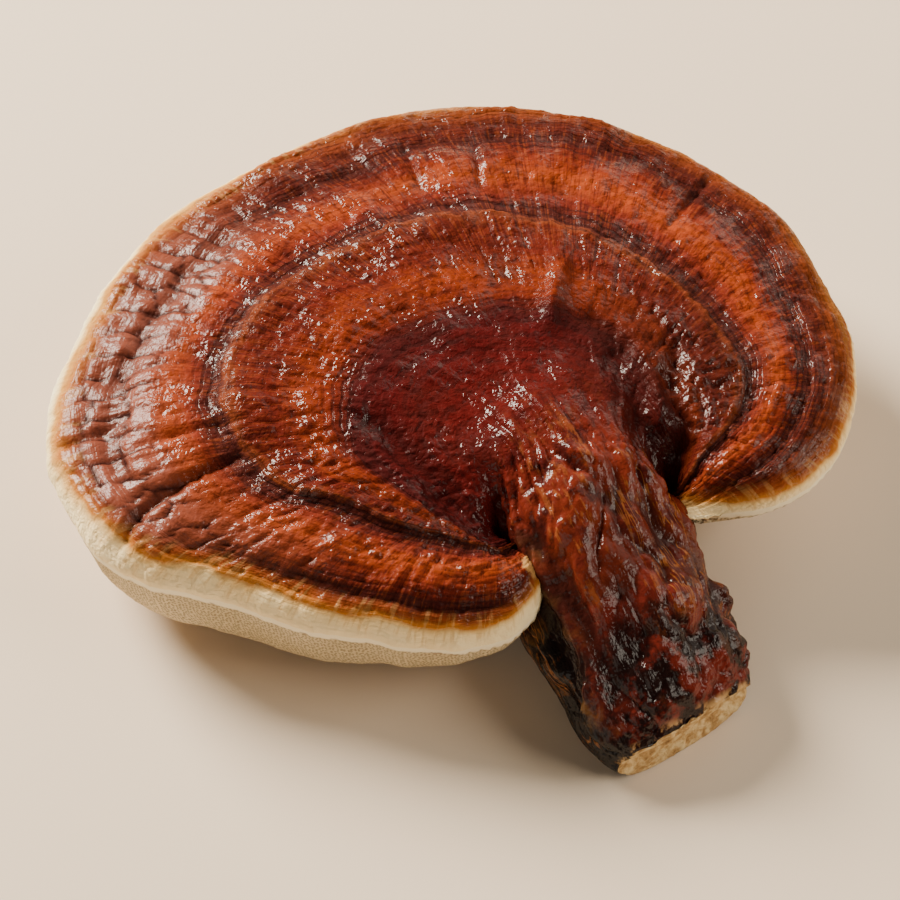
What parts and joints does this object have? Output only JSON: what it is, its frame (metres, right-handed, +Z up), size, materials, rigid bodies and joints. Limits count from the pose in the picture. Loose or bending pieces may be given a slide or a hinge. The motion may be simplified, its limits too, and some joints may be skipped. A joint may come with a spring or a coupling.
{
  "type": "reishi mushroom",
  "caption": "Dried reishi mushroom: a kidney-shaped, zoned, lacquered cap with a cream margin and a cut side stem, lying on its underside.",
  "frame": {"origin": "bottom centre of the bounding box, on the surface that the mushroom lies on", "axes": "+X across the cap, from its left lobe to its right lobe, +Y from the cut end of the stem to the far margin, +Z up out of the lacquered top"},
  "size_m": [0.1616, 0.1588, 0.0376],
  "materials": {
    "lacquered_crust": "glossy natural varnish over woody flesh"
  },
  "bodies": {
    "root": {"reishi_mushroom": "lacquered_crust"}
  },
  "joints": []
}
